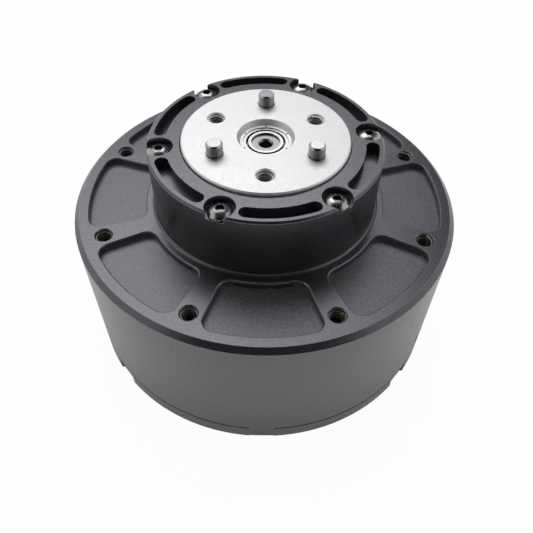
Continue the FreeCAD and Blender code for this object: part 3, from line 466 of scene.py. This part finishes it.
# Ground bearing steel: bright bands, with painted shade as a black line in each gap between the races.
finishes["bearing_steel"] = paint_shade_in_hollows(metal("ground_bearing_steel", "#A9A8A6", 0.24), 0.8, 0.05)
# Ground gear steel, on the shaft's end, the pins and the gears: grey, with clear highlights.
finishes["gear_steel"] = metal("ground_gear_steel", "#868686", 0.3)
# Moulded rubber: black and dull, a dark line between the housing and its cover.
finishes["gasket_black"] = grained("rubber_gasket", "#0C0C0C", 0.7, grain=0.3, depth=0.01)
# Black oxide on steel, on the grub screw, the circlip and the rotor: a dull, oily near-black.
finishes["black_steel"] = metal("black_oxide_steel", "#2A2A2B", 0.4)
print(len(finishes), "finishes so far")

# %% [markdown]
# The other finishes are on the motor and the driver board. Of these, only the sockets and their contacts
# show from outside, in the openings of the rear cover. Moulded and printed skins have a grain too fine to
# show, so it is drawn at 0.2 to 0.5 mm and very shallow. The engineering record names a finish for every
# part, so one loop deals them all out.

# %% The finishes of the motor and the board
# Nickel plate on magnets: a warm, even mirror.
finishes["magnet_nickel"] = metal("nickel_plate", "#C4C0B6", 0.2)
# Stamped electrical steel: bluish grey, dull from its insulating varnish.
finishes["lamination_steel"] = metal("electrical_steel_laminations", "#7B7F85", 0.45)
# Drawn copper wire in clear enamel: orange and glossy.
finishes["copper_winding"] = metal("enamelled_copper", "#B4652F", 0.3)
# Gold plate on brass pins: a clean yellow mirror.
finishes["contact_brass"] = metal("gold_plated_contact", "#E0B850", 0.25)
# Drawn aluminium: a pale, even satin.
finishes["capacitor_can"] = metal("drawn_aluminium_can", "#C9CACC", 0.25)
# Solder mask printed over glass fibre: dark green and smooth, with a slight gloss.
finishes["circuit_board"] = grained("solder_mask_green", "#0B4A22", 0.35, grain=0.5, depth=0.002)
# Moulded epoxy, on the chips: charcoal and dull, with a fine pitted skin.
finishes["component_black"] = grained("moulded_epoxy", "#17171A", 0.55, grain=0.2, depth=0.01)
# Moulded nylon, dyed or natural: smooth, with soft highlights.
finishes["socket_yellow"] = grained("yellow_nylon", "#E0A312", 0.4, grain=0.5, depth=0.002)
finishes["socket_white"] = grained("natural_nylon", "#E4E1D2", 0.4, grain=0.5, depth=0.002)
# Silicone filled with ceramic powder, cast as a sheet: grey, chalky and without gloss.
finishes["pad_grey"] = grained("filled_silicone_pad", "#7F8894", 0.7, grain=0.3, depth=0.01)

slots = {row["node"]: row["material_slot"] for row in frame["record"]["subparts"]}
for name, obj in nodes.items():
    obj.data.materials.clear()
    obj.data.materials.append(finishes[slots[name]])
    for polygon in obj.data.polygons:
        polygon.material_index = 0
print(len(finishes), "finishes on", len(nodes), "parts")

# %% [markdown]
# The floors of the flange's pockets are milled with a small cutter before blasting, and their finish stays
# a little rougher and paler than the land round them. A mask from the height and the distance to the axis
# finds them, so the pattern stays where it belongs from every side. The speckle is the blasting again,
# drawn at a third of a millimetre so that it shows.

# %% Paler pocket floors
pocket_depth = 1.8 * MM
pocket_inner = 30.8 * MM
pocket_outer = 45.2 * MM
pocket_middle = (pocket_inner + pocket_outer) / 2
pocket_half_width = (pocket_outer - pocket_inner) / 2
pocket_half_height = 0.6 * pocket_depth
speckle_low, speckle_high = 0.4, 0.65


def pale_pockets(material, dark, light, grain, roughness):
    """A speckle of two colours and another roughness between two radii, just under the flange's face."""
    tree = material.node_tree
    shader = tree.nodes["Principled BSDF"]
    where = add(tree, "ShaderNodeTexCoord")
    split = add(tree, "ShaderNodeSeparateXYZ", sources={0: where.outputs["Object"]})
    sunk = add(tree, "ShaderNodeMath", operation="COMPARE", sources={0: split.outputs[2]},
               values={1: flange_face - pocket_depth, 2: pocket_half_height})
    inside = add(tree, "ShaderNodeMath", operation="COMPARE", sources={0: distance_to_axis(tree, where)},
                 values={1: pocket_middle, 2: pocket_half_width})
    mask = add(tree, "ShaderNodeMath", operation="MULTIPLY",
               sources={0: sunk.outputs[0], 1: inside.outputs[0]})
    noise = add(tree, "ShaderNodeTexNoise", values={"Scale": 1 / (grain * MM), "Detail": 1},
                sources={"Vector": where.outputs["Object"]})
    crisp = add(tree, "ShaderNodeMapRange", sources={"Value": noise.outputs["Fac"]},
                values={"From Min": speckle_low, "From Max": speckle_high})
    speckle = add(tree, "ShaderNodeMix", data_type="RGBA", sources={0: crisp.outputs[0]},
                  values={COLOUR_A: linear(dark), COLOUR_B: linear(light)})
    land = shader.inputs["Base Color"].links[0].from_socket
    shade = add(tree, "ShaderNodeMix", data_type="RGBA",
                sources={0: mask.outputs[0], COLOUR_A: land, COLOUR_B: speckle.outputs[COLOUR_OUT]})
    tree.links.new(shade.outputs[COLOUR_OUT], shader.inputs["Base Color"])
    land = shader.inputs["Roughness"].links[0].from_socket
    rough = add(tree, "ShaderNodeMix", data_type="FLOAT", values={NUMBER_B: roughness},
                sources={0: mask.outputs[0], NUMBER_A: land})
    tree.links.new(rough.outputs[NUMBER_OUT], shader.inputs["Roughness"])


pale_pockets(finishes["black_anodised"], dark="#1E1E20", light="#4C4C50", grain=0.33, roughness=0.42)
print("pockets between", round(pocket_inner / MM, 1), "and", round(pocket_outer / MM, 1), "mm")

# %% [markdown]
# ## Threads
#
# The tapped holes are plain bores in the engineering model. A tap leaves a helical groove, and what the eye
# sees in a tapped hole is its ridges, one under the other. A ridge is a triangle that the Screw modifier
# sweeps round and up. It is made once at the origin, its base a little inside the wall, its ends closed,
# and every hole gets a copy.

# %% One thread ridge
tapped_bore = 2.0 * MM
m4_pitch = 0.7 * MM
thread_turns = 6
steps_a_turn = 24
weld_distance = 0.001 * MM


def thread_ridge(name, bore, pitch, turns):
    """A helical ridge round the Z axis that rises from z = 0, on the wall of a bore."""
    deselect_all()
    size = 0.5 * pitch
    sunk_in_wall = 0.3 * size
    bpy.ops.mesh.primitive_circle_add(vertices=3, radius=size, fill_type="NOTHING",
                                      location=(bore - sunk_in_wall, 0, 0.5 * pitch),
                                      rotation=(math.radians(90), math.radians(-90), 0))
    ridge = bpy.context.object
    ridge.name = name
    bpy.ops.object.transform_apply(location=True, rotation=True, scale=True)
    bpy.ops.object.modifier_add(type="SCREW")
    sweep = ridge.modifiers[-1]
    sweep.axis = "Z"
    sweep.screw_offset = pitch
    sweep.iterations = turns
    sweep.steps = steps_a_turn
    sweep.render_steps = steps_a_turn
    bpy.ops.object.modifier_apply(modifier=sweep.name)
    bpy.ops.object.mode_set(mode="EDIT")
    bpy.ops.mesh.select_all(action="SELECT")
    bpy.ops.mesh.remove_doubles(threshold=weld_distance)
    bpy.ops.mesh.fill_holes(sides=3)
    bpy.ops.mesh.normals_make_consistent(inside=False)
    bpy.ops.object.mode_set(mode="OBJECT")
    return ridge


m4_ridge = thread_ridge("thread_pattern", tapped_bore, m4_pitch, thread_turns)
ridge_height = m4_ridge.dimensions.z
print("a ridge has", len(m4_ridge.data.polygons), "faces and is", round(ridge_height / MM, 2), "mm deep")

# %% [markdown]
# The flange has eight tapped holes and the output disc three. A tap cuts through the black layer, so the
# flange's threads are bare aluminium, dulled by oil. The disc's threads are as bare as the disc, and they
# ride on it, so they turn with it.


# %% Threads in the flange and in the output disc
def place_copy(piece, name, turn, radius, height):
    """A copy with its own mesh, moved to a hole and turned with it, its object back at the origin."""
    turn = math.radians(turn)
    copy = piece.copy()
    copy.data = piece.data.copy()
    copy.name = name
    bpy.context.scene.collection.objects.link(copy)
    copy.location = (radius * math.sin(turn), -radius * math.cos(turn), height)
    copy.rotation_euler = (0, 0, turn)
    deselect_all()
    copy.select_set(True)
    bpy.context.view_layer.objects.active = copy
    bpy.ops.object.transform_apply(location=True, rotation=True, scale=True)
    return copy


below_face = 0.3 * MM
flange_hole_circle = 42.4 * MM
output_hole_circle = 14.2 * MM
flange_turns = [22.5 + 45 * i for i in range(8)]
output_turns = [120 * i for i in range(3)]
# Aluminium cut by a tap: bright but darkened by cutting oil, so that each ridge is a thin pale line. Its
# grain is drawn at 0.4 mm, as on the other bare metals.
cut_ridge = grained("tap_cut_aluminium", "#7E7A74", 0.35, metal_grain, metal_depth, metallic=0.8)
bare = finishes["machined_aluminium"]
tapped = [("flange", turn, flange_hole_circle, flange_face, "housing", cut_ridge) for turn in flange_turns]
tapped += [("output", turn, output_hole_circle, disc_top, "output", bare) for turn in output_turns]
for number, (where, turn, circle, face, body, finish) in enumerate(tapped):
    base = face - below_face - ridge_height
    ridge = place_copy(m4_ridge, f"{where}_thread_{number + 1}", turn, circle, base)
    ridge.data.materials.append(finish)
    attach(ridge, body)
bpy.data.objects.remove(m4_ridge)
print(len(tapped), "threads,", below_face / MM, "mm below the faces")
